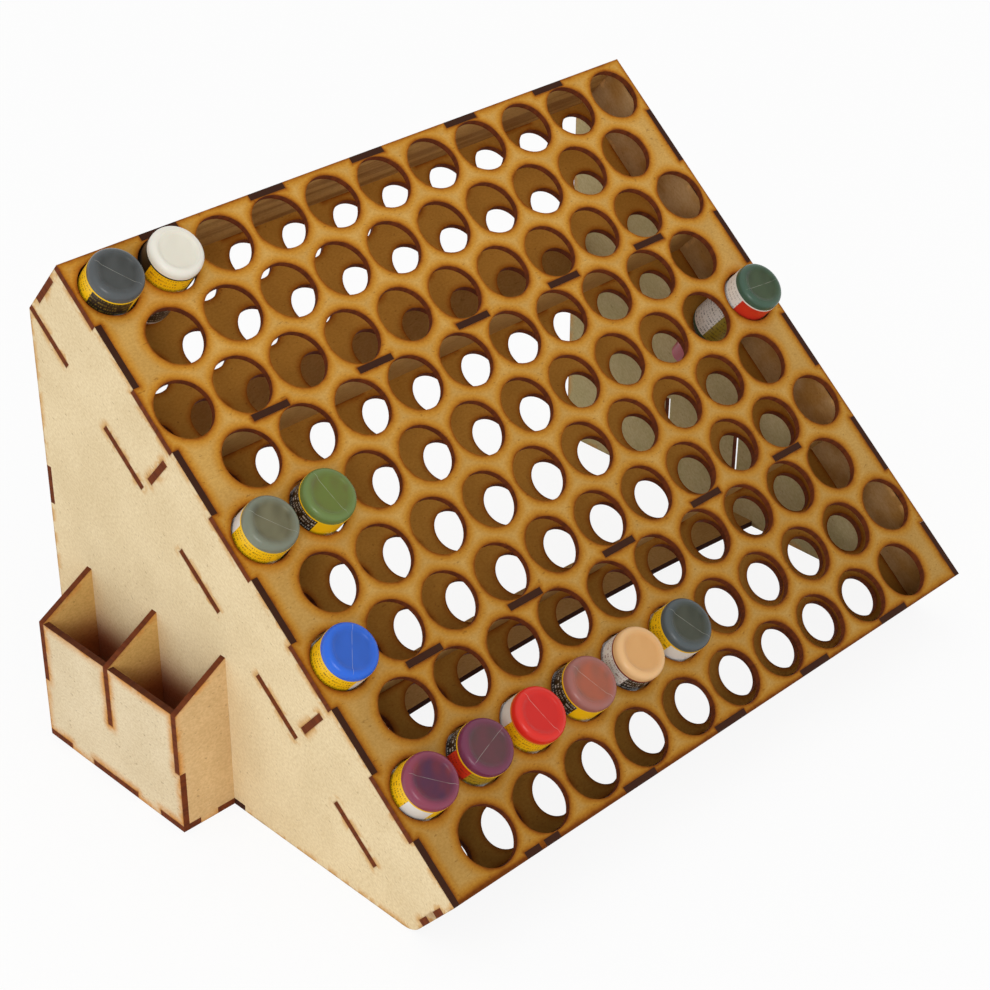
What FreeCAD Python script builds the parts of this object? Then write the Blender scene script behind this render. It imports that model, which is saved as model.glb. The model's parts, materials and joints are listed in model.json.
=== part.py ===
import FreeCAD, Part
import os
import Sketcher

# A sloping rack for upside-down paint bottles, laser cut from thin fibreboard. Two drilled panels
# lie a bottle's depth apart between two side boards. Every board slots into its neighbours by
# square fingers, and a two-bay holder for tools hangs on the left side.
#
# Two frames are used, both with X along the rack's width and their origin at its foot corner:
# the rack frame has Z up, and the slope frame is turned about X so that Y runs up the panels and Z
# points out of them.

DIMENSIONS = {
    "sheet": 3.0,  # thickness of every board
    "joint_gap": 0.05,  # room on each side of a finger in its slot
    "slope": 40.18,  # panels from the ground, degrees
    "panel_space": 30.0,  # between the two drilled panels
    "columns": 11,  # holes in a long row
    "row_pairs": 5,  # a long row and a short one
    "bottle_width": 24.0,
    "bottle_room": 1.0,  # round a bottle in the front panel's hole
    "hole_web": 4.0,  # board between two holes of a row
    "slot_web": 0.2,  # board between a hole and a slot
    "side_room": 0.3,  # between a bottle and the side board
    "neck_hole": 20.0,  # in the inner panel
    "divider_row": 2.5,  # a divider's place, in rows from the end row
    "tab_width": 19.0,  # fingers of the cross boards in the panels
    "tab_pitch": 57.6,
    "tab_count": 5,
    "end_tab": 18.0,  # fingers of the cross boards in the sides
    "front_key": 2.6,  # tooth that keys the bottom rail to the front panel
    "side_key": 6.0,  # tooth that keys the bottom rail to the left side
    "base_depth": 30.0,
    "base_setback": 99.6,  # from the rear of the sides
    "base_tab": 18.7,
    "foot_round": 12.0,  # front lower corner of the sides
    "brace_height": 30.0,
    "brace_level": 92.8,
    "brace_tab": 18.7,
    "holder_setback": 23.0,  # from the rack's rear edge
    "bay_width": 24.0,  # clear size of the tool bays
    "bay_length": 42.5,
    "holder_height": 60.0,  # at the outer plate
    "holder_rise": 16.0,  # more at the rack's side
    "seat_gap": 0.3,  # between a bottle's shoulder and the neck hole
    "body_length": 43.5,
    "base_round": 4.5,
    "shoulder_length": 6.0,
    "neck_width": 15.0,
    "neck_length": 1.5,
    "cap_width": 14.5,
    "cap_tip_width": 11.0,
    "cap_straight": 12.0,
    "cap_taper": 11.0,
}

# The bottles in the rack: the row from the top and the hole in that row, both from 0. All are in
# long rows, which are the even ones.
BOTTLES = [(0, 0), (0, 1), (4, 0), (4, 1), (4, 10), (6, 0)] + [(8, column) for column in range(6)]

# Sizes that follow from the ones above. Lengths up the slope start at the foot corner.
DERIVED = {
    "hole": "dims.bottle_width + 2 * dims.bottle_room",
    "column_pitch": "layout.hole + dims.hole_web",
    "row_pitch": "layout.hole + dims.sheet + 2 * dims.joint_gap + 2 * dims.slot_web",
    "first_column": "dims.sheet + dims.side_room + dims.bottle_width / 2",
    "end_margin": "dims.sheet + dims.joint_gap + dims.slot_web + layout.hole / 2",
    "width": "(dims.columns - 1) * layout.column_pitch + 2 * layout.first_column",
    "length": "(2 * dims.row_pairs - 1) * layout.row_pitch + 2 * layout.end_margin",
    "finger": "layout.length / (2 * dims.row_pairs)",
    "front": "dims.panel_space + dims.sheet",  # back face of the front panel, in the slope frame
    "depth": "dims.panel_space + 2 * dims.sheet",
    "rear": "layout.length * cos(dims.slope)",  # rear edge of the sides, in the rack frame
    "lower_divider": "layout.end_margin + dims.divider_row * layout.row_pitch - dims.sheet / 2",
    "upper_divider": "layout.length - layout.lower_divider - dims.sheet",
    "top_rail": "layout.length - dims.sheet",
    "first_tab": "(layout.width - (dims.tab_count - 1) * dims.tab_pitch - dims.tab_width) / 2",
    "end_tab": "(layout.depth - dims.end_tab) / 2",
    "base_rear": "layout.rear - dims.base_setback",
    "base_front": "layout.base_rear - dims.base_depth",
    "holder_width": "dims.bay_width + dims.sheet",
    "holder_rear": "layout.rear - dims.holder_setback",
    "holder_length": "3 * dims.sheet + 2 * dims.bay_length",
    "holder_front": "layout.holder_rear - layout.holder_length",
    "plate_top": "dims.holder_height + dims.holder_rise",
    # a bottle's shoulder is a cone that meets the edge of its neck hole
    "shoulder": "dims.sheet + dims.seat_gap + dims.shoulder_length"
    " * (dims.bottle_width - dims.neck_hole) / (dims.bottle_width - dims.neck_width)",
    "neck": "layout.shoulder - dims.shoulder_length",
    "cap": "layout.neck - dims.neck_length",
    "cap_end": "layout.cap - dims.cap_straight - dims.cap_taper",
    "rear_reach": "(layout.length - layout.end_margin + dims.cap_tip_width / 2) * cos(dims.slope)"
    " - layout.cap_end * sin(dims.slope)",
    # the foot corner of the left side, seen from the middle of everything's footprint
    "left": "(layout.holder_width - layout.width) / 2",
    "foot": "(layout.depth * sin(dims.slope) - layout.rear_reach) / 2",
}

doc = FreeCAD.newDocument("organizer")
dims = doc.addObject("Spreadsheet::Sheet", "dims")
for row, (alias, size) in enumerate(DIMENSIONS.items(), start=1):
    dims.set(f"A{row}", str(size))
    dims.setAlias(f"A{row}", alias)
layout = doc.addObject("App::VarSet", "layout")
for name, formula in DERIVED.items():
    layout.addProperty("App::PropertyFloat", name)
    layout.setExpression(name, formula)
doc.recompute()


def new_body(label, sloping=False, column=None, row=None):
    """A body in the rack frame or the slope frame, at the foot corner or at one of the holes."""
    body = doc.addObject("PartDesign::Body", label)
    body.Label = label
    across, up = "0", "0"
    if column is not None:
        across = f"layout.first_column + {column} * layout.column_pitch"
        up = f"(layout.length - layout.end_margin - {row} * layout.row_pitch)"
    body.setExpression("Placement.Base.x", f"layout.left + {across}")
    body.setExpression("Placement.Base.y", f"layout.foot + {up} * cos(dims.slope)")
    body.setExpression("Placement.Base.z", f"{up} * sin(dims.slope)")
    if sloping:
        body.Placement.Rotation = FreeCAD.Rotation(FreeCAD.Vector(1, 0, 0), dims.slope)
        body.setExpression("Placement.Rotation.Angle", "dims.slope")
    return body


def new_sketch(body, plane, level="0", sloping=False):
    """A sketch on one of the body's own planes, or parallel to it at a level, or in the slope frame."""
    sketch = body.newObject("Sketcher::SketchObject", f"{body.Name}_sketch")
    origin_plane = next(f for f in body.Origin.OriginFeatures if f.Role == plane)
    sketch.AttachmentSupport = [(origin_plane, "")]
    sketch.MapMode = "FlatFace"
    sketch.setExpression("AttachmentOffset.Base.z", level)
    if sloping:
        turn = FreeCAD.Rotation(FreeCAD.Vector(0, 0, 1), dims.slope)
        sketch.AttachmentOffset = FreeCAD.Placement(FreeCAD.Vector(), turn)
        sketch.setExpression("AttachmentOffset.Rotation.Angle", "dims.slope")
    return sketch


def hold(sketch, kind, *where, size):
    """Add a constraint whose value is an expression."""
    value = float(dims.evalExpression(size))
    number = sketch.addConstraint(Sketcher.Constraint(kind, *where, value))
    sketch.setExpression(f"Constraints[{number}]", size)


def draw_loop(sketch, corners):
    """Straight edges from corner to corner, each held at its two expressions."""
    points = [FreeCAD.Vector(*(float(dims.evalExpression(c)) for c in corner), 0) for corner in corners]
    first = sketch.GeometryCount
    count = len(corners)
    sketch.addGeometry([Part.LineSegment(points[k], points[(k + 1) % count]) for k in range(count)])
    for k, (across, up) in enumerate(corners):
        before = first + (k - 1) % count
        sketch.addConstraint(Sketcher.Constraint("Coincident", before, 2, first + k, 1))
        hold(sketch, "DistanceX", first + k, 1, size=across)
        hold(sketch, "DistanceY", first + k, 1, size=up)


def draw_box(sketch, left, right, low, high):
    draw_loop(sketch, [(left, low), (right, low), (right, high), (left, high)])


def pad(body, sketch):
    """Make the sketch a board, one sheet thick."""
    feature = body.newObject("PartDesign::Pad", f"{body.Name}_pad")
    feature.Profile = sketch
    feature.setExpression("Length", "dims.sheet")
    body.Tip = feature
    return feature


def cut(body, sketch):
    """Cut the sketch right through the board."""
    feature = body.newObject("PartDesign::Pocket", f"{body.Name}_cut")
    feature.Profile = sketch
    feature.Type = "ThroughAll"
    feature.Midplane = True
    body.Tip = feature
    return feature


def repeat(body, feature, axis, step, count):
    """Repeat a pad or a cut along an axis of its own sketch."""
    pattern = body.newObject("PartDesign::LinearPattern", f"{body.Name}_pattern")
    pattern.Originals = [feature]
    set_pattern(pattern, feature, axis, step, count)
    body.Tip = pattern


def set_pattern(pattern, feature, axis, step, count):
    pattern.Direction = (feature.Profile[0], [axis])
    pattern.Mode = "Spacing"
    pattern.setExpression("Offset", step)
    pattern.setExpression("Occurrences", count)


def repeat_grid(body, feature, across, up):
    """Repeat a cut both ways, each given as a step and a count."""
    grid = body.newObject("PartDesign::MultiTransform", f"{body.Name}_grid")
    grid.Originals = [feature]
    patterns = []
    for axis, (step, count) in (("H_Axis", across), ("V_Axis", up)):
        pattern = body.newObject("PartDesign::LinearPattern", f"{body.Name}_pattern")
        set_pattern(pattern, feature, axis, step, count)
        patterns.append(pattern)
    grid.Transformations = patterns
    body.Tip = grid


def wider(low, high):
    """The two ends of a slot for a finger that lies from low to high."""
    return f"{low} - dims.joint_gap", f"{high} + dims.joint_gap"


def span(start, size):
    return start, f"{start} + {size}"


def bottle_panel(label, level, hole):
    """A drilled panel. Its long edges have fingers beside the long rows of holes, which pass
    through the sides, and slots and notches take the fingers of the cross boards."""
    body = new_body(label, sloping=True)
    outline = new_sketch(body, "XY_Plane", level)
    draw_box(outline, "0", "layout.width", "0", "layout.length")
    pad(body, outline)

    recesses = new_sketch(body, "XY_Plane", level)
    draw_box(recesses, "-dims.sheet", "dims.sheet", "0", "layout.finger")
    draw_box(recesses, "layout.width - dims.sheet", "layout.width + dims.sheet", "0", "layout.finger")
    repeat(body, cut(body, recesses), "V_Axis", "2 * layout.finger", "dims.row_pairs")

    slots = new_sketch(body, "XY_Plane", level)
    sides = wider(*span("layout.first_tab", "dims.tab_width"))
    draw_box(slots, *sides, "-dims.sheet", "dims.sheet + dims.joint_gap")
    draw_box(slots, *sides, *wider(*span("layout.lower_divider", "dims.sheet")))
    draw_box(slots, *sides, *wider(*span("layout.upper_divider", "dims.sheet")))
    draw_box(slots, *sides, "layout.top_rail - dims.joint_gap", "layout.length + dims.sheet")
    repeat(body, cut(body, slots), "H_Axis", "dims.tab_pitch", "dims.tab_count")

    long_rows = ("0", "layout.row_pitch", "dims.columns")
    short_rows = ("layout.column_pitch / 2", "0", "dims.columns - 1")
    for start, first_row, holes in (long_rows, short_rows):
        circle = new_sketch(body, "XY_Plane", level)
        circle.addGeometry(Part.Circle(FreeCAD.Vector(), FreeCAD.Vector(0, 0, 1), 1))
        hold(circle, "Diameter", 0, size=hole)
        hold(circle, "DistanceX", 0, 3, size=f"layout.first_column + {start}")
        hold(circle, "DistanceY", 0, 3, size=f"layout.end_margin + {first_row}")
        rows = ("2 * layout.row_pitch", "dims.row_pairs")
        repeat_grid(body, cut(body, circle), ("layout.column_pitch", holes), rows)
    return body


def cross_board(label, level):
    """A rail or divider between the panels. Five strips make its fingers in both panels, and one
    strip its fingers in both sides."""
    body = new_body(label, sloping=True)
    plane = ("XZ_Plane", f"-({level} + dims.sheet)")
    outline = new_sketch(body, *plane)
    draw_box(outline, "dims.sheet", "layout.width - dims.sheet", "dims.sheet", "layout.front")
    pad(body, outline)
    strip = new_sketch(body, *plane)
    draw_box(strip, *span("layout.first_tab", "dims.tab_width"), "0", "layout.depth")
    repeat(body, pad(body, strip), "H_Axis", "dims.tab_pitch", "dims.tab_count")
    ends = new_sketch(body, *plane)
    draw_box(ends, "0", "layout.width", *span("layout.end_tab", "dims.end_tab"))
    pad(body, ends)
    return body


def centred(middle, size, room="0"):
    """The two ends of something centred on a middle."""
    return f"{middle} - {size} / 2 - {room}", f"{middle} + {size} / 2 + {room}"


# Middles and ends that two or more boards share.
FRONT_KEY = "(layout.first_tab + dims.tab_width / 2)"
SIDE_KEY = "(layout.depth / 2)"
BRACE_MIDDLE = "(dims.brace_level + dims.brace_height / 2)"
BASE_MIDDLE = "(layout.base_rear - dims.base_depth / 2)"
HOLDER_PLATES = {
    "holder_rear_plate": "(layout.holder_rear - dims.sheet)",
    "holder_divider": "(layout.holder_front + dims.sheet + dims.bay_length)",
    "holder_front_plate": "layout.holder_front",
}
PLATE_TAB = ("layout.plate_top / 3", "2 * layout.plate_top / 3")
PLATE_FOOT = ("-2 * layout.holder_width / 3", "-layout.holder_width / 3")


def bottom_rail():
    """The bottom rail is keyed: its first finger in the front panel and its finger in the left
    side are each split round a tooth, so it goes in only one way."""
    body = cross_board("bottom_rail", "0")
    keys = new_sketch(body, "XZ_Plane", "-dims.sheet")
    front_key = centred(FRONT_KEY, "dims.front_key", "dims.joint_gap")
    draw_box(keys, *front_key, "layout.front", "layout.depth + dims.sheet")
    draw_box(keys, "-dims.sheet", "dims.sheet", *centred(SIDE_KEY, "dims.side_key", "dims.joint_gap"))
    cut(body, keys)


def front_panel():
    body = bottle_panel("front_panel", "layout.front", "layout.hole")
    tooth = new_sketch(body, "XY_Plane", "layout.front")
    draw_box(tooth, *centred(FRONT_KEY, "dims.front_key"), "0", "2 * dims.sheet")
    pad(body, tooth)


def round_foot(body, board):
    """Round off the corner that lies on the body's own X axis."""
    doc.recompute()
    middles = [edge.CenterOfMass for edge in board.Shape.Edges]
    distances = [abs(middle.y) + abs(middle.z) for middle in middles]
    foot = distances.index(min(distances)) + 1
    rounding = body.newObject("PartDesign::Fillet", f"{body.Name}_foot")
    rounding.Base = (board, [f"Edge{foot}"])
    rounding.setExpression("Radius", "dims.foot_round")
    body.Tip = rounding


def side_board(label, level):
    """A side: a rectangle on the slope over a right-angled triangle on the ground. Notches and
    slots take the fingers of the panels and the cross boards, and three more slots take the
    holder's plates, so that it can hang on either side."""
    body = new_body(label)
    outline = new_sketch(body, "YZ_Plane", level)
    corners = [("0", "0"), ("layout.rear", "0"), ("layout.rear", "layout.length * sin(dims.slope)")]
    for up in ("layout.length", "0"):
        across = f"{up} * cos(dims.slope) - layout.depth * sin(dims.slope)"
        corners.append((across, f"{up} * sin(dims.slope) + layout.depth * cos(dims.slope)"))
    draw_loop(outline, corners)
    round_foot(body, pad(body, outline))

    recesses = new_sketch(body, "YZ_Plane", level, sloping=True)
    beside_finger = wider("layout.finger", "2 * layout.finger")
    draw_box(recesses, *beside_finger, "layout.front", "layout.depth + dims.sheet")
    draw_box(recesses, *beside_finger, "-dims.joint_gap", "dims.sheet + dims.joint_gap")
    repeat(body, cut(body, recesses), "H_Axis", "2 * layout.finger", "dims.row_pairs")

    slots = new_sketch(body, "YZ_Plane", level, sloping=True)
    ends = wider(*span("layout.end_tab", "dims.end_tab"))
    draw_box(slots, "-dims.sheet", "dims.sheet + dims.joint_gap", *ends)
    draw_box(slots, *wider(*span("layout.lower_divider", "dims.sheet")), *ends)
    draw_box(slots, *wider(*span("layout.upper_divider", "dims.sheet")), *ends)
    draw_box(slots, "layout.top_rail - dims.joint_gap", "layout.length + dims.sheet", *ends)
    cut(body, slots)

    edges = new_sketch(body, "YZ_Plane", level)
    brace_slot = centred(BRACE_MIDDLE, "dims.brace_tab", "dims.joint_gap")
    draw_box(edges, "layout.rear - dims.sheet", "layout.rear + dims.sheet", *brace_slot)
    for start in HOLDER_PLATES.values():
        draw_box(edges, *wider(*span(start, "dims.sheet")), *wider(*PLATE_TAB))
    base_slot = centred(BASE_MIDDLE, "dims.base_tab", "dims.joint_gap")
    draw_box(edges, *base_slot, "-dims.sheet", "dims.sheet")
    cut(body, edges)
    return body


def left_side():
    body = side_board("left_side", "0")
    tooth = new_sketch(body, "YZ_Plane", "0", sloping=True)
    draw_box(tooth, "0", "2 * dims.sheet", *centred(SIDE_KEY, "dims.side_key"))
    pad(body, tooth)


def back_brace():
    body = new_body("back_brace")
    plane = ("XZ_Plane", "-layout.rear")
    outline = new_sketch(body, *plane)
    height = span("dims.brace_level", "dims.brace_height")
    draw_box(outline, "dims.sheet", "layout.width - dims.sheet", *height)
    pad(body, outline)
    ends = new_sketch(body, *plane)
    draw_box(ends, "0", "layout.width", *centred(BRACE_MIDDLE, "dims.brace_tab"))
    pad(body, ends)


def base_plate():
    """A second brace of the same kind lies flat on the ground."""
    body = new_body("base_plate")
    outline = new_sketch(body, "XY_Plane")
    depth = ("layout.base_front", "layout.base_rear")
    draw_box(outline, "dims.sheet", "layout.width - dims.sheet", *depth)
    pad(body, outline)
    ends = new_sketch(body, "XY_Plane")
    draw_box(ends, "0", "layout.width", *centred(BASE_MIDDLE, "dims.base_tab"))
    pad(body, ends)


def holder_cross_plate(label, level):
    """A plate across the holder, higher at the rack's side. The upper half of its outer end runs
    through the outer plate, its foot through the floor and a finger through the side."""
    body = new_body(label)
    plane = ("XZ_Plane", f"-({level} + dims.sheet)")
    outline = new_sketch(body, *plane)
    outer, inner = "-layout.holder_width", "-dims.bay_width"
    corners = [(inner, "dims.sheet"), ("0", "dims.sheet"), ("0", "layout.plate_top")]
    corners += [(outer, "dims.holder_height"), (outer, "dims.holder_height / 2")]
    corners += [(inner, "dims.holder_height / 2")]
    draw_loop(outline, corners)
    pad(body, outline)
    fingers = new_sketch(body, *plane)
    draw_box(fingers, *PLATE_FOOT, "0", "2 * dims.sheet")
    draw_box(fingers, "-dims.sheet", "dims.sheet", *PLATE_TAB)
    pad(body, fingers)


def floor_fingers():
    """The ends of the floor's fingers in the outer plate: sixths of its length, the middle two
    as one."""
    sixth = "layout.holder_length / 6"
    spans = ((0, 1), (2, 4), (5, 6))
    return [tuple(f"layout.holder_front + {end} * {sixth}" for end in ends) for ends in spans]


def holder_outer_plate():
    """The outer plate stands on the floor's fingers, and three notches take the cross plates."""
    body = new_body("holder_outer_plate")
    plane = ("YZ_Plane", "-layout.holder_width")
    outline = new_sketch(body, *plane)
    draw_box(outline, "layout.holder_front", "layout.holder_rear", "0", "dims.holder_height")
    pad(body, outline)
    notches = new_sketch(body, *plane)
    above = ("dims.holder_height / 2", "dims.holder_height + dims.sheet")
    for start in HOLDER_PLATES.values():
        draw_box(notches, *wider(*span(start, "dims.sheet")), *above)
    for ends in floor_fingers():
        draw_box(notches, *wider(*ends), "-dims.sheet", "dims.sheet")
    cut(body, notches)


def holder_floor():
    """Strips beside the plates' feet run the whole length, through the front and rear plates, and
    fingers run through the outer plate. The divider's foot goes through a slot."""
    body = new_body("holder_floor")
    outline = new_sketch(body, "XY_Plane")
    inside = ("layout.holder_front + dims.sheet", "layout.holder_rear - dims.sheet")
    draw_box(outline, "-dims.bay_width", "0", *inside)
    pad(body, outline)
    strips = new_sketch(body, "XY_Plane")
    whole = ("layout.holder_front", "layout.holder_rear")
    draw_box(strips, "-dims.bay_width", f"{PLATE_FOOT[0]} - dims.joint_gap", *whole)
    draw_box(strips, f"{PLATE_FOOT[1]} + dims.joint_gap", "0", *whole)
    pad(body, strips)
    fingers = new_sketch(body, "XY_Plane")
    for ends in floor_fingers():
        draw_box(fingers, "-layout.holder_width", "-dims.bay_width", *ends)
    pad(body, fingers)
    slot = new_sketch(body, "XY_Plane")
    divider = wider(*span(HOLDER_PLATES["holder_divider"], "dims.sheet"))
    draw_box(slot, *wider(*PLATE_FOOT), *divider)
    cut(body, slot)


def turned_piece(label, column, row, profile):
    """A round piece of a bottle, turned about the middle of its hole. The profile gives each
    corner's radius and height in the slope frame."""
    body = new_body(label, sloping=True, column=column, row=row)
    half = new_sketch(body, "XZ_Plane")
    draw_loop(half, [("0", profile[0][1])] + profile + [("0", profile[-1][1])])
    turned = body.newObject("PartDesign::Revolution", f"{label}_turned")
    turned.Profile = half
    turned.ReferenceAxis = (half, ["V_Axis"])
    turned.Angle = 360
    body.Tip = turned


def bottle(number, row, column):
    """A bottle stands on its shoulder in the neck hole, upside down, with its cap on."""
    base = "(layout.shoulder + dims.body_length)"
    body_radius, neck_radius = "dims.bottle_width / 2", "dims.neck_width / 2"
    profile = [
        (neck_radius, "layout.cap"),
        (neck_radius, "layout.neck"),
        (body_radius, "layout.shoulder"),
        (body_radius, f"{base} - dims.base_round"),
        (f"{body_radius} - dims.base_round * 0.3", f"{base} - dims.base_round * 0.3"),
        (f"{body_radius} - dims.base_round", base),
    ]
    turned_piece(f"bottle_{number:02d}", column, row, profile)
    cap_radius, tip_radius = "dims.cap_width / 2", "dims.cap_tip_width / 2"
    profile = [
        (tip_radius, "layout.cap_end"),
        (cap_radius, "layout.cap_end + dims.cap_taper"),
        (cap_radius, "layout.cap"),
    ]
    turned_piece(f"cap_{number:02d}", column, row, profile)


front_panel()
bottle_panel("inner_panel", "0", "dims.neck_hole")
left_side()
side_board("right_side", "layout.width - dims.sheet")
cross_board("top_rail", "layout.top_rail")
cross_board("upper_divider", "layout.upper_divider")
cross_board("lower_divider", "layout.lower_divider")
bottom_rail()
back_brace()
base_plate()
holder_outer_plate()
for label, level in HOLDER_PLATES.items():
    holder_cross_plate(label, level)
holder_floor()
for number, (row, column) in enumerate(BOTTLES, start=1):
    bottle(number, row, column)
doc.recompute()

for item in doc.Objects:
    if "Invalid" in item.State or "Error" in item.State:
        raise RuntimeError(f"{item.Label} didn't build: {item.State}")
os.makedirs("parts", exist_ok=True)
for body in doc.findObjects("PartDesign::Body"):
    if body.Shape.isNull() or not body.Shape.isValid() or len(body.Shape.Solids) != 1:
        raise RuntimeError(f"{body.Label} isn't one valid solid")
    body.Shape.exportStep(f"parts/{body.Label}.step")
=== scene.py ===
import json
from math import atan2, cos, pi, radians, sin

import bmesh
import bpy
from mathutils import Matrix, Vector


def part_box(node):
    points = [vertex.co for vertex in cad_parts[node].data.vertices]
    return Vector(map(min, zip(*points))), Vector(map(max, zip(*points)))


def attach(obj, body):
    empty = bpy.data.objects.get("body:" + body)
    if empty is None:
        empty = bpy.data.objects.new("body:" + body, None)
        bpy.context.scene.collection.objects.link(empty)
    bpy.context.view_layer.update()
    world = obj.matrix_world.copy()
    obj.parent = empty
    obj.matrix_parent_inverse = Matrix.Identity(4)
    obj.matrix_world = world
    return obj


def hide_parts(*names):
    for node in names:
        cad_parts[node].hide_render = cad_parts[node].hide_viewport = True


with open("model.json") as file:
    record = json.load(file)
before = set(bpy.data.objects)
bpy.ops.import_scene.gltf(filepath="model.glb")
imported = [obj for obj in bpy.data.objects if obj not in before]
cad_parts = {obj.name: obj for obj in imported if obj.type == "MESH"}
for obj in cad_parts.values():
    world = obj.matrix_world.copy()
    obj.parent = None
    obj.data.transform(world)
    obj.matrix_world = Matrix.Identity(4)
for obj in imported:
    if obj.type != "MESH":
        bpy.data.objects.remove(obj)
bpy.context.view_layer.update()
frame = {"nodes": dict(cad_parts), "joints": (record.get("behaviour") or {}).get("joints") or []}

# Camera. A short telephoto lens looks down on the rack's front left corner, so the panel full of
# holes, the left side and the tool holder all show.
def add_object(name, data):
    item = bpy.data.objects.new(name, data)
    bpy.context.scene.collection.objects.link(item)
    return item


view = bpy.data.cameras.new("view")
view.lens = 81.33
view.shift_x, view.shift_y = 0.0036, -0.0057
camera = add_object("camera", view)
camera.location = (-0.59885, -0.59295, 0.61086)
camera.rotation_euler = [radians(angle) for angle in (58.452, -0.436, -44.825)]
bpy.context.scene.camera = camera

# Bottle panel, front. Laser-cut fibreboard, 3 mm thick, with long and short rows of round holes.
# The beam browns the face in a soft ring round every cut and chars the cut edges. The bottles
# stand square to it, so their travel gives its slope.
outward = Vector(frame["joints"][0]["axis"]).normalized()
slope = atan2(-outward.y, outward.z)
uphill = Vector((0, cos(slope), sin(slope)))
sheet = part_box("base_plate")[1].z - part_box("base_plate")[0].z
foot = Vector((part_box("inner_panel")[0].x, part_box("inner_panel")[0].y + sheet * sin(slope), 0))


def on_slope(point):
    """A point of the row frame as (across, up the slope, out of the panel) from the foot corner."""
    offset = point - foot
    return Vector((offset.x, offset.dot(uphill), offset.dot(outward)))


def middle(node):
    """The middle of a piece, measured on the slope."""
    spots = [on_slope(vertex.co) for vertex in frame["nodes"][node].data.vertices]
    return Vector([(min(part) + max(part)) / 2 for part in zip(*spots)])


def tone(red, green, blue):
    """A colour as seen on a screen, 0 to 255, in the shader's linear values."""
    linear = []
    for part in (red / 255, green / 255, blue / 255):
        linear.append(part / 12.92 if part < 0.04045 else ((part + 0.055) / 1.055) ** 2.4)
    return linear + [1]


def new_material(name):
    """An empty material: its nodes, its links and its one shader."""
    material = bpy.data.materials.new(name)
    material.use_nodes = True
    shader = material.node_tree.nodes["Principled BSDF"]
    return material, material.node_tree, shader


def join(tree, socket, value):
    """Feed a socket from a number, a vector or another node's output."""
    if isinstance(value, bpy.types.NodeSocket):
        tree.links.new(value, socket)
    else:
        socket.default_value = value


def sum_up(tree, operation, first, second=0.0, third=0.0):
    node = tree.nodes.new("ShaderNodeMath")
    node.operation = operation
    for socket, value in zip(node.inputs, (first, second, third)):
        join(tree, socket, value)
    return node.outputs[0]


def arrow(tree, operation, first, second=(0, 0, 0), third=(0, 0, 0)):
    """One step of vector sums. LENGTH gives a number, the others a vector."""
    node = tree.nodes.new("ShaderNodeVectorMath")
    node.operation = operation
    for socket, value in zip(node.inputs, (first, second, third)):
        join(tree, socket, value)
    return node.outputs["Value" if operation in ("LENGTH", "DOT_PRODUCT") else "Vector"]


def fade(tree, value, start, end, low=1.0, high=0.0):
    """A smooth step from low at start to high at end."""
    node = tree.nodes.new("ShaderNodeMapRange")
    node.interpolation_type = "SMOOTHSTEP"
    parts = {"Value": value, "From Min": start, "From Max": end, "To Min": low, "To Max": high}
    for name, part in parts.items():
        join(tree, node.inputs[name], part)
    return node.outputs["Result"]


def blotches(tree, where, size, detail=2.0, roughness=0.5):
    """Soft noise from 0 to 1 with blotches of about that size, in metres."""
    node = tree.nodes.new("ShaderNodeTexNoise")
    join(tree, node.inputs["Vector"], where)
    node.inputs["Scale"].default_value = 1 / size
    node.inputs["Detail"].default_value = detail
    node.inputs["Roughness"].default_value = roughness
    return node.outputs["Fac"]


def blend_colour(tree, share, first, second, how="MIX"):
    node = tree.nodes.new("ShaderNodeMix")
    node.data_type = "RGBA"
    node.blend_type = how
    join(tree, node.inputs["Factor"], share)
    join(tree, node.inputs[6], first)
    join(tree, node.inputs[7], second)
    return node.outputs[2]


def past_cut(tree, place, cut):
    """How far a place on the board lies from the nearest of a grid of cuts, each a rectangle or,
    with a radius, a round hole."""
    centre, half, radius = cut["centre"], cut.get("half", (0, 0)), cut.get("radius", 0)
    local = arrow(tree, "SUBTRACT", place, (*centre, 0))
    if "pitch" in cut:
        pitch, count = (*cut["pitch"], 1), cut["count"]
        steps = arrow(tree, "ADD", arrow(tree, "DIVIDE", local, pitch), (0.5, 0.5, 0))
        steps = arrow(tree, "MAXIMUM", arrow(tree, "FLOOR", steps), (0, 0, 0))
        steps = arrow(tree, "MINIMUM", steps, (count[0] - 1, count[1] - 1, 0))
        local = arrow(tree, "SUBTRACT", local, arrow(tree, "MULTIPLY", steps, pitch))
    past = arrow(tree, "SUBTRACT", arrow(tree, "ABSOLUTE", local), (*half, 0))
    past = arrow(tree, "MULTIPLY", arrow(tree, "MAXIMUM", past, (0, 0, 0)), (1, 1, 0))
    return sum_up(tree, "SUBTRACT", arrow(tree, "LENGTH", past), radius)


def own_place(tree, origin, *axes):
    """Places measured from an origin along a piece's own three axes."""
    own = tree.nodes.new("ShaderNodeMapping")
    own.vector_type = "TEXTURE"
    own.inputs["Location"].default_value = origin
    own.inputs["Rotation"].default_value = Matrix(axes).transposed().to_euler()
    tree.links.new(tree.nodes.new("ShaderNodeTexCoord").outputs["Object"], own.inputs["Vector"])
    return own.outputs["Vector"]


def scaled(colour, *shares):
    return [part * share for part, share in zip(colour, shares)] + [1]


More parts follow.
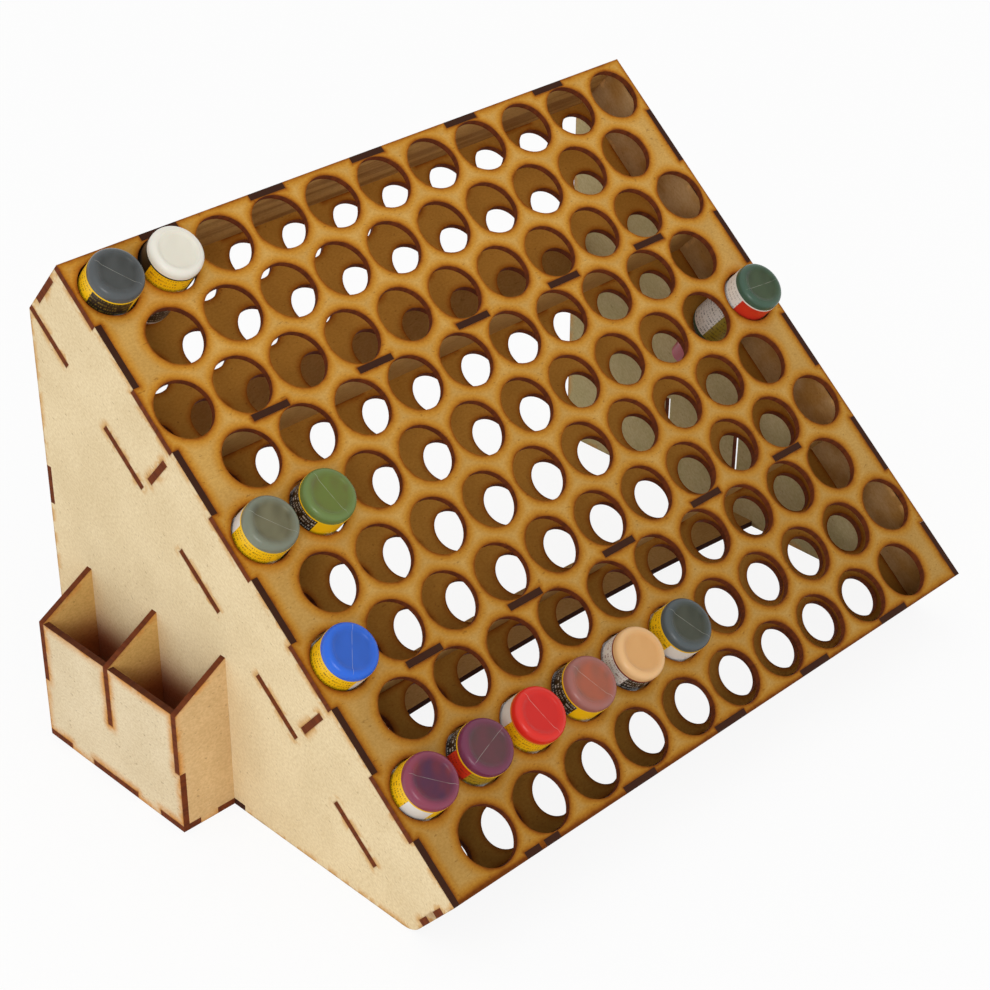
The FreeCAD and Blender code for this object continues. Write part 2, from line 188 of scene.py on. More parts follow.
def fibreboard(
    name, along, across, face, ring, cuts=(), limits=(), width=0.0034, patchy=0.0, mottle=1.0,
    tints=(), char_and_shade=(116, 56, 26), veil=None, foot_shade=0.0,
):
    """Bare fibreboard in its own frame: X and Y on the board from the foot corner, Z square to it.
    It is browned in a ring of that width near its cuts and its limits, which are lines given as
    (direction, distance). Patchy is the share of the browning that is lost in places, and mottle
    the strength of the clouds on the face. Each tint is (a function that gives its share of the
    colour, its colour); on these boards the tints are painted shade, and streaks on the top rail.
    The char colour paints the cut edges, and is darker as painted shade on the base strip. A veil
    is a lighter browning that reaches further from the cuts. The foot shade share darkens the board
    down to its foot, as painted shade."""
    material, tree, shader = new_material(name)
    normal = along.cross(across)
    place = own_place(tree, foot, along, across, normal)

    near = 1.0
    for cut in cuts:
        near = sum_up(tree, "MINIMUM", past_cut(tree, place, cut), near)
    for direction, distance in limits:
        inside = arrow(tree, "DOT_PRODUCT", place, (*direction, 0))
        inside = sum_up(tree, "SUBTRACT", distance, inside)
        near = sum_up(tree, "MINIMUM", inside, near)
    smoke = blotches(tree, place, 0.007, 4.0, 0.6)
    patch = fade(tree, blotches(tree, place, 0.009, 3.0), 0.47, 0.54, 1 - patchy, 1.0)
    wander, brownest, char_width = 0.0020, -0.0006, 0.0010
    near = sum_up(tree, "MULTIPLY_ADD", smoke, -wander, sum_up(tree, "ADD", near, wander / 2))
    scorch = sum_up(tree, "MULTIPLY", fade(tree, near, brownest, width), patch)
    burnt = sum_up(tree, "MULTIPLY", fade(tree, near, brownest, char_width), 0.72)

    fibre = blotches(tree, arrow(tree, "MULTIPLY", place, (0.7, 1, 1)), 0.0010, 4.0, 0.65)
    cloud = blotches(tree, place, 0.030, 5.0, 0.6)
    speck = blotches(tree, arrow(tree, "MULTIPLY", place, (0.5, 1, 1)), 0.0014, 2.0)
    speck = fade(tree, speck, 0.66, 0.74, 0.0, 0.55)
    pale, dull = scaled(face, 1.06, 1.06, 1.06), scaled(face, 0.92, 0.89, 0.84)
    mottled = fade(tree, cloud, 0.35, 0.65, 0.5 - mottle / 2, 0.5 + mottle / 2)
    colour = blend_colour(tree, mottled, dull, pale)
    for share, tint in tints:
        colour = blend_colour(tree, share(tree), colour, tint)
    if veil:
        colour = blend_colour(tree, fade(tree, near, 0.0012, 0.0058), colour, veil)
    colour = blend_colour(tree, scorch, colour, ring)
    colour = blend_colour(tree, burnt, colour, scaled(ring, 0.4, 0.30, 0.25))
    grain = fade(tree, fibre, 0.35, 0.65, 0.0, 0.62)
    colour = blend_colour(tree, grain, colour, (0.80, 0.74, 0.64, 1), "MULTIPLY")
    colour = blend_colour(tree, speck, colour, (0.5, 0.42, 0.35, 1), "MULTIPLY")
    # Painted shade: the board darkens towards its foot.
    if foot_shade:
        unshaded_from = 0.28
        height = arrow(tree, "DOT_PRODUCT", place, (0, 1, 0))
        low_down = fade(tree, height, 0, unshaded_from, foot_shade, 0.0)
        colour = blend_colour(tree, low_down, colour, (0, 0, 0, 1))

    # cut edges: nearly black where they lie flush in the panel, partly char and partly painted
    # shade, redder elsewhere
    facing = tree.nodes.new("ShaderNodeTexCoord").outputs["Normal"]
    flat = sum_up(tree, "ABSOLUTE", arrow(tree, "DOT_PRODUCT", facing, normal))
    flush = fade(tree, arrow(tree, "DOT_PRODUCT", facing, outward), 0.6, 0.9, 0.0, 1.0)
    edge = blend_colour(tree, flush, tone(*char_and_shade), tone(60, 34, 20))
    streak = blotches(tree, arrow(tree, "MULTIPLY", place, (1, 1, 0.15)), 0.0022, 2.0)
    edge = blend_colour(tree, fade(tree, streak, 0.35, 0.65, 0.0, 0.4), edge, tone(58, 28, 20))
    colour = blend_colour(tree, fade(tree, flat, 0.4, 0.6), colour, edge)
    join(tree, shader.inputs["Base Color"], colour)
    join(tree, shader.inputs["Roughness"], fade(tree, fibre, 0.2, 0.8, 0.72, 0.88))
    shader.inputs["Specular IOR Level"].default_value = 0.12
    bump = tree.nodes.new("ShaderNodeBump")
    bump.inputs["Strength"].default_value = 0.09
    bump.inputs["Distance"].default_value = 0.0003
    join(tree, bump.inputs["Height"], fibre)
    join(tree, shader.inputs["Normal"], bump.outputs["Normal"])
    return material


def finish_board(node, material):
    frame["nodes"][node].data.materials.clear()
    frame["nodes"][node].data.materials.append(material)


panel_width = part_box("front_panel")[1].x - foot.x
first_hole, next_hole = middle("bottle_01"), middle("bottle_02")
column_pitch = next_hole.x - first_hole.x
row_pitch = (first_hole.y - middle("bottle_03").y) / 4
rows, columns = 10, 11
lowest_row = first_hole.y - (rows - 1) * row_pitch
panel_length = lowest_row + first_hole.y
finger = panel_length / rows
hole_radius = 0.013
tabs, tab_pitch, tab_half = 5, 0.0576, (0.0095, sheet / 2)
tab_start = panel_width / 2 - (tabs - 1) / 2 * tab_pitch
cross_levels = [
    sheet / 2, middle("lower_divider").y, middle("upper_divider").y, panel_length - sheet / 2
]


def panel_cuts(radius):
    """The holes of the long rows and the short rows, the slots for the cross boards, and the
    notches for the sides' fingers."""
    long_start = (first_hole.x, lowest_row + row_pitch)
    short_start = (first_hole.x + column_pitch / 2, lowest_row)
    cuts = []
    for start, count in ((long_start, columns), (short_start, columns - 1)):
        cuts.append({
            "centre": start, "radius": radius,
            "pitch": (column_pitch, 2 * row_pitch), "count": (count, rows // 2),
        })
    for level in cross_levels:
        cuts.append({
            "centre": (tab_start, level), "half": tab_half,
            "pitch": (tab_pitch, 1), "count": (tabs, 1),
        })
    cuts.append({
        "centre": (sheet / 2, finger / 2), "half": (sheet / 2, finger / 2),
        "pitch": (panel_width - sheet, 2 * finger), "count": (2, rows // 2),
    })
    return cuts


panel_limits = [((-1, 0), 0), ((1, 0), panel_width), ((0, -1), 0), ((0, 1), panel_length)]
rightward, backward, upward = Vector((1, 0, 0)), Vector((0, 1, 0)), Vector((0, 0, 1))
gold, toasted, ochre = tone(209, 165, 90), tone(162, 88, 8), tone(203, 142, 45)
dark_foot_line = ((-0.0036, -1), -0.0015)  # a dark line along the foot, widest at the left
# The front panel darkens towards its foot as painted shade.
front_looks = {
    "face": gold, "ring": toasted, "veil": ochre, "width": 0.0026, "foot_shade": 0.27,
    "cuts": panel_cuts(hole_radius), "limits": panel_limits + [dark_foot_line],
}
finish_board("front_panel", fibreboard("front_board", rightward, uphill, **front_looks))

# Bottle panel, inner. The same board and rows with smaller holes, which hold a bottle's shoulder.
# It stands in the front panel's shade: its face is painted browner and darker as shade, and it
# darkens further towards its foot as painted shade.
neck_hole_radius = 0.010
inner_looks = {
    "face": tone(187, 131, 52), "ring": toasted, "foot_shade": 0.3,
    "cuts": panel_cuts(neck_hole_radius), "limits": panel_limits,
}
finish_board("inner_panel", fibreboard("inner_board", rightward, uphill, **inner_looks))

# Side boards. Paler board, with thin fingers of the panels and cross boards showing end on, and
# scorch marks spread unevenly round the slots and along the edges. Their inner faces are painted
# darker and browner as shade, and so are the tool bays low down.
cream, amber = tone(238, 219, 180), tone(216, 150, 72)
slope_axes = rightward, uphill, outward
panel_space, cross_finger = 0.030, 0.018
panel_depth = 2 * sheet + panel_space
side_cuts = []
for depth in (sheet / 2, panel_depth - sheet / 2):
    side_cuts.append({
        "centre": (1.5 * finger, depth), "half": (finger / 2, sheet / 2),
        "pitch": (2 * finger, 1), "count": (rows // 2, 1),
    })
for level in cross_levels:
    side_cuts.append({"centre": (level, panel_depth / 2), "half": (sheet / 2, cross_finger / 2)})
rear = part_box("left_side")[1].y - foot.y
side_limits = [
    ((-1, 0), 0), ((1, 0), panel_length), ((0, 1), panel_depth),
    ((-sin(slope), -cos(slope)), 0), ((cos(slope), -sin(slope)), rear),
]
bay_low = Vector((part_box("holder_outer_plate")[1].x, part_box("holder_front_plate")[1].y, 0))
bay_high = Vector((foot.x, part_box("holder_rear_plate")[0].y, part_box("holder_rear_plate")[1].z))


def bay_shade_share(tree):
    """Painted shade, from none at a bay's mouth to most of it deep down, on faces that look into
    the bays.
    """
    place = own_place(tree, (bay_low + bay_high) / 2, rightward, backward, upward)
    past = arrow(tree, "SUBTRACT", arrow(tree, "ABSOLUTE", place), (bay_high - bay_low) / 2)
    past = arrow(tree, "LENGTH", arrow(tree, "MAXIMUM", past, (0, 0, 0)))
    level = arrow(tree, "DOT_PRODUCT", place, (0, 0, 1))
    level = sum_up(tree, "MULTIPLY_ADD", blotches(tree, place, 0.02), 0.006, level)
    mouth = bay_high.z / 2
    deep = fade(tree, level, mouth - 0.036, mouth - 0.012, 0.92, 0.0)
    return sum_up(tree, "MULTIPLY", deep, fade(tree, past, 0.0003, 0.0006))


def facing_share(facing, depth, most):
    """The share of a colour on the faces that look one way, within a range of depths."""
    def share(tree):
        place = own_place(tree, foot, *slope_axes)
        level = arrow(tree, "DOT_PRODUCT", place, (0, 0, 1))
        normal = tree.nodes.new("ShaderNodeTexCoord").outputs["Normal"]
        faced = fade(tree, arrow(tree, "DOT_PRODUCT", normal, facing), 0.4, 0.6, 0.0, most)
        uneven = fade(tree, blotches(tree, place, 0.018, 3.0), 0.3, 0.7, 0.75, 1.0)
        off = sum_up(tree, "ABSOLUTE", sum_up(tree, "SUBTRACT", level, sum(depth) / 2))
        half, soft = (depth[1] - depth[0]) / 2, 0.0005
        inside = fade(tree, off, half - soft, half + soft)
        return sum_up(tree, "MULTIPLY", sum_up(tree, "MULTIPLY", faced, uneven), inside)
    return share


bay_shade_brown, khaki, honey = tone(150, 67, 23), tone(196, 184, 136), tone(162, 112, 44)
# Painted shade deep in the tool bays.
painted_bay_shade = [(bay_shade_share, bay_shade_brown)]
side_looks = {
    "face": cream, "ring": tone(216, 168, 104), "cuts": side_cuts, "limits": side_limits,
    "width": 0.0042, "patchy": 0.9, "mottle": 0.5,
}
# Painted shade: each side's inner faces are darker, khaki from the inner panel back and honey from
# there out to the front panel.
for node, inward in (("left_side", rightward), ("right_side", -rightward)):
    tints = [
        (facing_share(inward, (-1, sheet / 2), 0.95), khaki),
        (facing_share(inward, (sheet / 2, panel_depth), 0.95), honey),
    ] + painted_bay_shade
    side_board = fibreboard(node + "_board", uphill, outward, tints=tints, **side_looks)
    finish_board(node, side_board)

# Rails and dividers. Strips between the panels, square to them, cut from the same board. Their
# fingers come through both panels and both sides. Long dark streaks run along the face of the top
# rail that looks down the slope.
def streaked(tree):
    """Streaks along the rail, on the face that looks down the slope."""
    place = own_place(tree, foot, *slope_axes)
    streak = blotches(tree, arrow(tree, "MULTIPLY", place, (0.04, 1, 1)), 0.007, 3.0)
    streak = fade(tree, streak, 0.42, 0.58, 0.0, 0.6)
    return sum_up(tree, "MULTIPLY", streak, facing_share(-uphill, (0, panel_depth), 1.0)(tree))


biscuit, walnut, chestnut = tone(198, 156, 92), tone(126, 74, 32), tone(104, 58, 34)
streaks = [(streaked, walnut)]
cross_board = fibreboard("cross_board", rightward, outward, biscuit, toasted)
top_board = fibreboard("top_board", rightward, outward, biscuit, toasted, tints=streaks)
bottom_board = fibreboard("bottom_board", rightward, outward, chestnut, toasted)
finish_board("upper_divider", cross_board)
finish_board("lower_divider", cross_board)
finish_board("top_rail", top_board)
finish_board("bottom_rail", bottom_board)

# Base and back brace. Narrow strips of the same board across the back, one on the ground and one
# upright. The one on the ground has warped, so its middle stands a little off the ground.
def mesh_object(name, shape, materials):
    """Turn a finished shape into an object of the scene."""
    mesh = bpy.data.meshes.new(name)
    shape.to_mesh(mesh)
    shape.free()
    for material in materials:
        mesh.materials.append(material)
    return add_object(name, mesh)


dusk = tone(186, 146, 88)
bow_height, bow_steps = 0.008, 32
base_low, base_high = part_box("base_plate")
base_corners = [vertex.co for vertex in frame["nodes"]["base_plate"].data.vertices]
tab_levels = [corner.y for corner in base_corners if corner.x < base_low.x + sheet / 2]
tab_low, tab_high = min(tab_levels), max(tab_levels)
strip = bmesh.new()
strip_size = base_high - base_low - 2 * sheet * rightward
strip_place = Matrix.LocRotScale((base_low + base_high) / 2, None, strip_size)
bmesh.ops.create_cube(strip, size=1, matrix=strip_place)
cuts_across = [((0, level, 0), backward) for level in (tab_low, tab_high)]
cuts_along = [
    ((base_low.x + sheet + part / bow_steps * strip_size.x, 0, 0), rightward)
    for part in range(1, bow_steps)
]
for point, direction in cuts_across + cuts_along:
    everything = strip.verts[:] + strip.edges[:] + strip.faces[:]
    bmesh.ops.bisect_plane(strip, geom=everything, plane_co=point, plane_no=direction)
ends = [
    face for face in strip.faces
    if abs(face.normal.x) > 0.9 and tab_low < face.calc_center_median().y < tab_high
]
for face in bmesh.ops.extrude_discrete_faces(strip, faces=ends)["faces"]:
    bmesh.ops.translate(strip, verts=face.verts, vec=face.normal * sheet)
bow_centre = (base_low.x + base_high.x) / 2
for vertex in strip.verts:
    reach = min(abs(vertex.co.x - bow_centre) / (strip_size.x / 2), 1)
    vertex.co.z += bow_height * (1 - reach ** 2)
bmesh.ops.recalc_face_normals(strip, faces=strip.faces)
# The base strip's cut edges are painted darker than the char of the other boards, as painted shade.
strip_board = fibreboard("base_board", rightward, backward, dusk, amber, char_and_shade=(66, 34, 20))
base_strip = mesh_object("base_strip", strip, [strip_board])
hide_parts("base_plate")
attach(base_strip, "rack")
finish_board("back_brace", fibreboard("brace_board", rightward, upward, dusk, amber))

# Tool holder. Five small boards with square fingers make two open bays on the left side. They are
# pale outside, and inside they are painted darker towards the bottom of the bays as shade, like the
# side board behind them.
tan, bronze = tone(220, 188, 140), tone(222, 182, 112)
outer_low, outer_high = [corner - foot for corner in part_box("holder_outer_plate")]
outer_limits = [
    ((-1, 0), -outer_low.y), ((1, 0), outer_high.y), ((0, -1), 0), ((0, 1), outer_high.z),
]
outer_cuts = []
for node in ("holder_rear_plate", "holder_divider", "holder_front_plate"):
    low, high = [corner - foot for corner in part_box(node)]
    slot_centre = ((low.y + high.y) / 2, outer_high.z * 0.75)
    outer_cuts.append({"centre": slot_centre, "half": (sheet / 2, outer_high.z / 4)})
sixth = (outer_high.y - outer_low.y) / 6
for start, end in ((0, 1), (2, 4), (5, 6)):
    centre = outer_low.y + (start + end) / 2 * sixth
    half = ((end - start) / 2 * sixth, sheet / 2)
    outer_cuts.append({"centre": (centre, sheet / 2), "half": half})
outer_looks = {
    "face": tone(235, 219, 187), "ring": amber, "cuts": outer_cuts, "limits": outer_limits,
    "width": 0.0052, "patchy": 0.35, "mottle": 0.5, "tints": painted_bay_shade,
}
finish_board("holder_outer_plate", fibreboard("outer_board", backward, upward, **outer_looks))
top_edge = Vector((outer_high.z - bay_high.z, -outer_low.x)).normalized()
plate_limits = [((-1, 0), -outer_low.x), ((0, -1), 0), (top_edge, bay_high.z * top_edge.y)]
plate_looks = {
    "ring": amber, "limits": plate_limits, "width": 0.0040, "patchy": 0.6, "mottle": 0.8,
    "tints": painted_bay_shade,
}
plate_faces = {"holder_rear_plate": bronze, "holder_divider": bronze, "holder_front_plate": tan}
for node, face in plate_faces.items():
    plate_board = fibreboard(node + "_board", rightward, upward, face, **plate_looks)
    finish_board(node, plate_board)
bay_floor = fibreboard("holder_floor_board", rightward, backward, tan, amber, tints=painted_bay_shade)
finish_board("holder_floor", bay_floor)

# Paint bottles. Squeezable, slightly cloudy plastic, upside down with the paint settled in them.
# A moulding seam crosses each dished base, and a printed label wraps the straight part.
bottle_top = max(on_slope(vertex.co).z for vertex in frame["nodes"]["bottle_01"].data.vertices)
bottle_end = min(on_slope(vertex.co).z for vertex in frame["nodes"]["bottle_01"].data.vertices)
bottle_radius, bottle_neck, shoulder = 0.0120, 0.0075, bottle_end + 0.0075
label_top, label_foot, lower_print = bottle_top - 0.0053, 0.0080, 0.0305
first_block, print_pitch, dashes_round, row_shift = radians(260), 0.0022, 24.0, 7.3


def turned(profile, roundings, node, steps=72):
    """A closed piece turned about the axis of a CAD piece from (radius, level) points, with the
    ring at each point in roundings rounded over."""
    shape = bmesh.new()
    points = [shape.verts.new((radius, 0, level)) for radius, level in profile]
    lines = [shape.edges.new(pair) for pair in zip(points, points[1:])]
    bmesh.ops.spin(
        shape, geom=points + lines, cent=(0, 0, 0), axis=(0, 0, 1), angle=2 * pi, steps=steps,
        use_merge=True,
    )
    tiny = 1e-6
    bmesh.ops.remove_doubles(shape, verts=shape.verts, dist=tiny)
    for (radius, level), size in roundings.items():
        ring = [
            edge for edge in shape.edges
            if all(
                abs(end.co.z - level) < tiny and abs(end.co.xy.length - radius) < tiny
                for end in edge.verts
            )
        ]
        bmesh.ops.bevel(
            shape, geom=ring, offset=size, segments=6, profile=0.5, affect="EDGES", material=-1
        )
    bmesh.ops.recalc_face_normals(shape, faces=shape.faces)
    for face in shape.faces:
        face.smooth = True
    for edge in shape.edges:
        edge.smooth = edge.calc_face_angle(0) < radians(35)
    spot = middle(node)
    axis_foot = foot + rightward * spot.x + uphill * spot.y
    return shape, axis_foot


def add_piece(name, shape, axis_foot, materials, node):
    """Stand a finished shape up on the slope in place of a CAD piece, on the same body."""
    shape.transform(Matrix.Translation(axis_foot) @ Matrix(slope_axes).transposed().to_4x4())
    piece = mesh_object(name, shape, materials)
    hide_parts(node)
    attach(piece, "bottle_body_" + node[-2:])


def paint(name, axis_foot, heart, swirl, rim, seam_angle):
    """Paint seen through the bottle: two tones that drift into each other, a lighter third at the
    rim, painted light for light glowing through the translucent plastic there, and a pale moulding
    seam across the base at an angle, or none."""
    material, tree, shader = new_material(name)
    place = own_place(tree, axis_foot, *slope_axes)
    distance = arrow(tree, "LENGTH", arrow(tree, "MULTIPLY", place, (1, 1, 0)))
    drift = tree.nodes.new("ShaderNodeTexNoise")
    drift.inputs["Scale"].default_value = 70
    drift.inputs["Detail"].default_value = 1.0
    drift.inputs["Distortion"].default_value = 1.2
    join(tree, drift.inputs["Vector"], place)
    drifted = fade(tree, drift.outputs["Fac"], 0.28, 0.72, 0.0, 1.0)
    colour = blend_colour(tree, drifted, tone(*heart), tone(*swirl))
    # Painted light: the rim is lighter, for light glowing through the translucent plastic.
    rim_glow = fade(tree, distance, 0.0070, 0.0112, 0.0, 0.8)
    colour = blend_colour(tree, rim_glow, colour, tone(*rim))
    if seam_angle is not None:
        across = (-sin(radians(seam_angle)), cos(radians(seam_angle)), 0)
        off = sum_up(tree, "ABSOLUTE", arrow(tree, "DOT_PRODUCT", place, across))
        strength = fade(tree, blotches(tree, place, 0.006), 0.3, 0.6, 0.06, 0.42)
        on_base = fade(tree, distance, 0.0098, 0.0112)
        line = sum_up(tree, "MULTIPLY", fade(tree, off, 0.00002, 0.00014), on_base)
        line = sum_up(tree, "MULTIPLY", line, strength)
        colour = blend_colour(tree, line, colour, tone(200, 198, 184))
    join(tree, shader.inputs["Base Color"], colour)
    shader.inputs["Roughness"].default_value = 0.26
    shader.inputs["Specular IOR Level"].default_value = 0.3
    shader.inputs["Subsurface Weight"].default_value = 0.05
    shader.inputs["Subsurface Scale"].default_value = 0.002
    return material


def stepped(tree, share, stops):
    """Plain blocks of colour, each from its start to the next one's."""
    ramp = tree.nodes.new("ShaderNodeValToRGB")
    ramp.color_ramp.interpolation = "CONSTANT"
    while len(ramp.color_ramp.elements) > 1:
        ramp.color_ramp.elements.remove(ramp.color_ramp.elements[-1])
    ramp.color_ramp.elements[0].position = 0
    ramp.color_ramp.elements[0].color = tone(*stops[0][1])
    for start, colour in stops[1:]:
        ramp.color_ramp.elements.new(start).color = tone(*colour)
    join(tree, ramp.inputs["Fac"], share)
    return ramp.outputs["Color"]


def label(name, axis_foot, blocks, rim, lower=None):
    """A printed label: blocks of colour round the bottle with rows of plain dashes in a second
    colour, and a line along its top edge. The blocks come twice round, and may have other
    colours further down."""
    material, tree, shader = new_material(name)
    place = own_place(tree, axis_foot, *slope_axes)
    parts = tree.nodes.new("ShaderNodeSeparateXYZ")
    join(tree, parts.inputs["Vector"], place)
    turn = sum_up(tree, "ARCTAN2", parts.outputs["Y"], parts.outputs["X"])
    turn = sum_up(tree, "MODULO", sum_up(tree, "ADD", turn, first_block), pi)
    share = sum_up(tree, "DIVIDE", turn, pi)
    level = parts.outputs["Z"]
    rows_down = sum_up(tree, "DIVIDE", sum_up(tree, "SUBTRACT", label_top, level), print_pitch)
    dashes = tree.nodes.new("ShaderNodeCombineXYZ")
    row = sum_up(tree, "FLOOR", rows_down)
    join(tree, dashes.inputs["X"], sum_up(tree, "MULTIPLY", turn, dashes_round))
    join(tree, dashes.inputs["Y"], sum_up(tree, "MULTIPLY", row, row_shift))
    ink = fade(tree, blotches(tree, dashes.outputs["Vector"], 1.0, 1.0), 0.51, 0.54, 0.0, 0.62)
    printed = sum_up(tree, "FRACT", rows_down)
    ink = sum_up(tree, "MULTIPLY", ink, fade(tree, printed, 0.52, 0.60, 0.0, 1.0))
    low_down = fade(tree, level, lower_print, lower_print + 0.0005)
    colours = []
    for part in (1, 2):
        upper = stepped(tree, share, [(block[0], block[part]) for block in blocks])
        below = stepped(tree, share, [(block[0], block[part]) for block in lower or blocks])
        colours.append(blend_colour(tree, low_down, upper, below))
    colour = blend_colour(tree, ink, *colours)
    border = fade(tree, level, label_top - 0.0008, label_top - 0.0007, 0.0, 1.0)
    colour = blend_colour(tree, border, colour, tone(*rim))
    join(tree, shader.inputs["Base Color"], colour)
    shader.inputs["Roughness"].default_value = 0.42
    return material


yellow, mustard, brass = (246, 194, 10), (170, 140, 30), (140, 118, 44)
black, grey, white, bone = (30, 24, 18), (150, 140, 130), (226, 222, 214), (214, 206, 190)
red, maroon, orange = (204, 46, 26), (118, 26, 30), (214, 120, 40)
smoke_brown, olive = (58, 46, 34), (150, 130, 36)
# slot, the paint's two tones and its rim (painted light), seam angle, (start, colour, ink) of
# each block, top line
bottles = [
    ("paint_dark_grey", (42, 44, 40), (70, 72, 70), (88, 92, 94), -52,
     [(0, yellow, black), (0.5, black, brass)], yellow),
    ("paint_ivory", (233, 228, 212), (226, 220, 203), (236, 232, 220), None,
     [(0, black, black), (0.45, yellow, maroon)], black),
    ("paint_grey_green", (70, 64, 38), (112, 108, 80), (126, 132, 116), -50,
     [(0, white, white), (0.3, yellow, black)], yellow),
    ("paint_leaf_green", (96, 92, 40), (98, 114, 42), (106, 130, 72), -80,
     [(0, black, white), (0.65, yellow, yellow)], yellow),
    ("paint_dark_green", (38, 50, 26), (60, 76, 46), (70, 98, 82), -5,
     [(0, white, grey), (0.5, red, red)], white),
    ("paint_blue", (34, 82, 170), (40, 92, 190), (42, 106, 222), 56,
     [(0, black, white), (0.12, yellow, black), (0.85, white, white)], yellow),
    ("paint_crimson", (118, 36, 36), (72, 32, 62), (144, 66, 88), -40,
     [(0, yellow, black), (0.5, white, white), (0.8, yellow, black)], yellow),
    ("paint_violet_grey", (74, 54, 52), (96, 52, 58), (118, 48, 80), 18,
     [(0, black, white), (0.3, red, maroon), (0.6, mustard, black)], yellow),
    ("paint_red", (196, 24, 14), (202, 28, 18), (222, 46, 34), -78,
     [(0, white, white), (0.35, yellow, maroon)], orange),
    ("paint_rose_brown", (126, 82, 66), (166, 86, 60), (156, 102, 96), -66,
     [(0, black, white), (0.6, yellow, yellow)], yellow),
    ("paint_peach", (206, 152, 92), (212, 160, 100), (230, 186, 132), None,
     [(0, white, maroon), (0.62, black, white)], maroon),
    ("paint_slate_blue", (40, 44, 30), (66, 68, 54), (84, 92, 96), -62,
     [(0, yellow, black), (0.55, white, white)], yellow),
]
lower_blocks = {2: [(0, smoke_brown, bone)], 5: [(0, white, black), (0.5, olive, black)]}
base_top = bottle_top - 0.0010  # the tighter rounding still has to stay inside the CAD box
dish_radius, rim_radius, label_radius = 0.0077, 0.0089, bottle_radius + 0.0001
body_profile = [
    (0, base_top - 0.0010), (dish_radius, base_top - 0.0009), (rim_radius, base_top),
    (bottle_radius, base_top), (bottle_radius, label_top), (label_radius, label_top),
    (label_radius, label_foot), (bottle_radius, label_foot), (bottle_radius, shoulder),
    (bottle_neck, bottle_end + 0.0015), (bottle_neck, bottle_end), (0, bottle_end),
]
body_roundings = {
    (dish_radius, base_top - 0.0009): 0.0008, (rim_radius, base_top): 0.0005,
    (bottle_radius, base_top): 0.0028, (bottle_radius, shoulder): 0.0010,
}
for number, (slot, heart, swirl, rim, seam_angle, blocks, line) in enumerate(bottles, 1):
    node = f"bottle_{number:02d}"
    shape, axis_foot = turned(body_profile, body_roundings, node)
    for face in shape.faces:
        centre = face.calc_center_median()
        on_wall = centre.xy.length > bottle_radius - 1e-4
        face.material_index = int(on_wall and label_foot < centre.z < label_top)
    looks = [
        paint(slot + f"_{number:02d}", axis_foot, heart, swirl, rim, seam_angle),
        label(node + "_label", axis_foot, blocks, line, lower_blocks.get(number)),
    ]
    add_piece(node + "_body", shape, axis_foot, looks, node)

# Caps. Crimson moulded plastic with fine grip ribs round the straight part and a plain tapered
# nozzle. They are screwed on and hang below the inner panel.
material, tree, shader = new_material("cap_crimson")
cloudy = blotches(tree, tree.nodes.new("ShaderNodeTexCoord").outputs["Object"], 0.006, 3.0)
crimson = blend_colour(tree, cloudy, tone(168, 44, 62), tone(186, 56, 74))
join(tree, shader.inputs["Base Color"], crimson)
join(tree, shader.inputs["Roughness"], fade(tree, cloudy, 0.3, 0.7, 0.32, 0.45))
cap_end = min(on_slope(vertex.co).z for vertex in frame["nodes"]["cap_01"].data.vertices)
cap_radius, tip_radius = 0.00725, 0.0055
grip_top, cap_waist = bottle_end - 0.0010, bottle_end - 0.012
cap_profile = [
    (0, bottle_end), (cap_radius, bottle_end), (cap_radius, grip_top), (cap_radius, cap_waist),
    (cap_radius - 0.0004, cap_waist - 0.0002), (tip_radius, cap_end), (0, cap_end),
]
cap_roundings = {(tip_radius, cap_end): 0.0008}
for number in range(1, len(bottles) + 1):
    node = f"cap_{number:02d}"
    shape, axis_foot = turned(cap_profile, cap_roundings, node, 48)
    centres = [(face, face.calc_center_median()) for face in shape.faces]
    grips = [
        face for face, centre in centres
        if centre.xy.length > cap_radius * 0.99 and cap_waist < centre.z < grip_top
    ]
    bmesh.ops.inset_individual(shape, faces=grips, thickness=0.00016, depth=-0.0003)
    for face in shape.faces:
        face.smooth = face.normal.z < -0.1
    add_piece(node + "_ribbed", shape, axis_foot, [material], node)

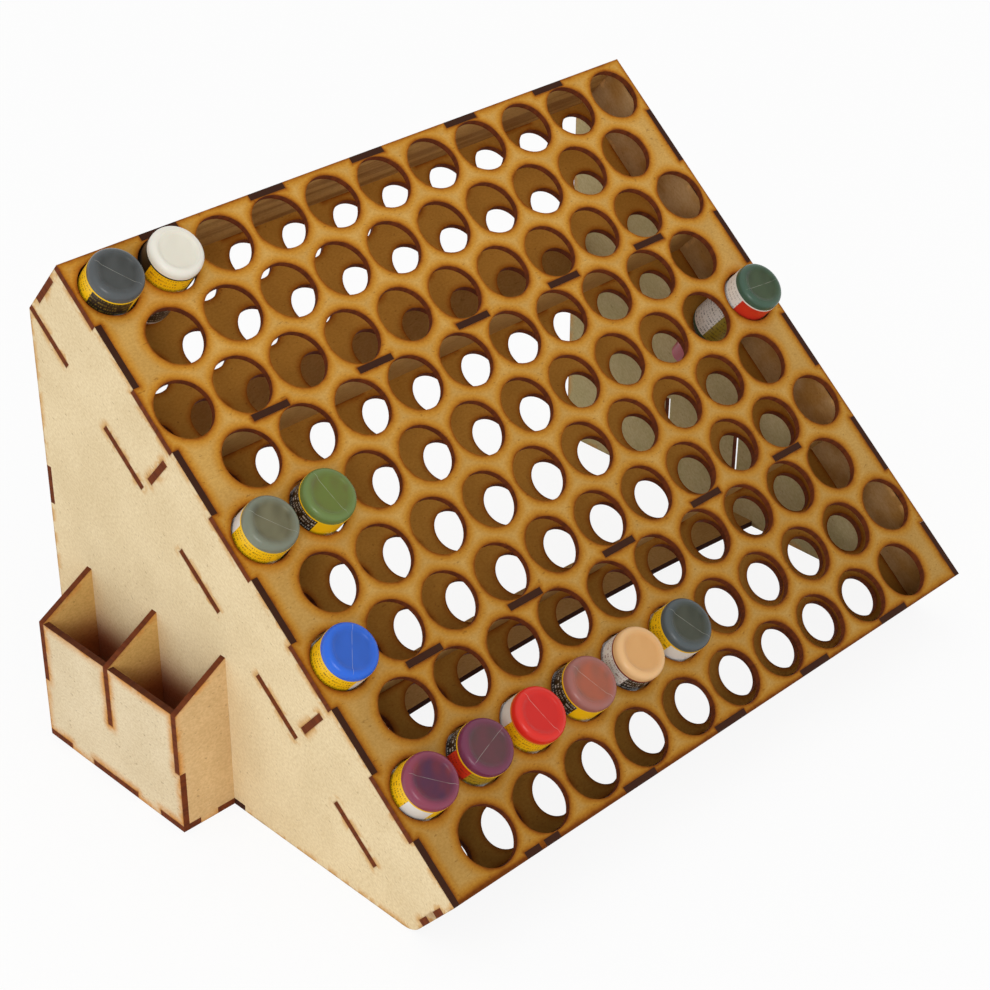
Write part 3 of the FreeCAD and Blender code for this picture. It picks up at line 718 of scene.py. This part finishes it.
# Floor and light. A wide white floor under a plain sky, and one soft lamp. Seen directly the floor
# is nearly white, with the rack's shadow on it.
def seen(tree, share):
    """A share that counts only for the camera, and for what shiny and clear surfaces show."""
    path = tree.nodes.new("ShaderNodeLightPath")
    rays = sum_up(tree, "ADD", path.outputs["Is Camera Ray"], path.outputs["Is Glossy Ray"])
    rays = sum_up(tree, "ADD", rays, path.outputs["Is Transmission Ray"])
    rays = sum_up(tree, "MINIMUM", rays, 1.0)
    return sum_up(tree, "MULTIPLY", rays, share)


def mixed(tree, share, first, second, output):
    mix = tree.nodes.new("ShaderNodeMixShader")
    join(tree, mix.inputs[0], share)
    tree.links.new(first, mix.inputs[1])
    tree.links.new(second, mix.inputs[2])
    tree.links.new(mix.outputs[0], output)


material, tree, shader = new_material("floor_white")
shader.inputs["Base Color"].default_value = (0.92, 0.92, 0.92, 1)
shader.inputs["Roughness"].default_value = 0.9
glow = tree.nodes.new("ShaderNodeEmission")
surface = tree.nodes["Material Output"].inputs["Surface"]
mixed(tree, seen(tree, 0.9), shader.outputs[0], glow.outputs[0], surface)
floor_shape = bmesh.new()
bmesh.ops.create_grid(floor_shape, x_segments=1, y_segments=1, size=6)
floor = mesh_object("floor", floor_shape, [material])

world = bpy.data.worlds.new("sky")
bpy.context.scene.world = world
world.use_nodes = True
tree = world.node_tree
sky = tree.nodes["Background"]
sky.inputs["Color"].default_value = (1, 1, 1, 1)
sky.inputs["Strength"].default_value = 0.8
backdrop = tree.nodes.new("ShaderNodeBackground")
backdrop.inputs["Color"].default_value = (1, 1, 1, 1)
surface = tree.nodes["World Output"].inputs["Surface"]
mixed(tree, seen(tree, 1.0), sky.outputs[0], backdrop.outputs[0], surface)

lamp = bpy.data.lights.new("key_lamp", "AREA")
lamp.shape, lamp.size, lamp.energy = "DISK", 0.8, 10
key_lamp = add_object("key_lamp", lamp)
key_lamp.location = (-1.5, -1.25, 0.9)
beam = Vector((0, 0, 0.1)) - key_lamp.location
key_lamp.rotation_euler = beam.to_track_quat("-Z", "Y").to_euler()
bpy.context.scene.view_settings.view_transform = "Standard"
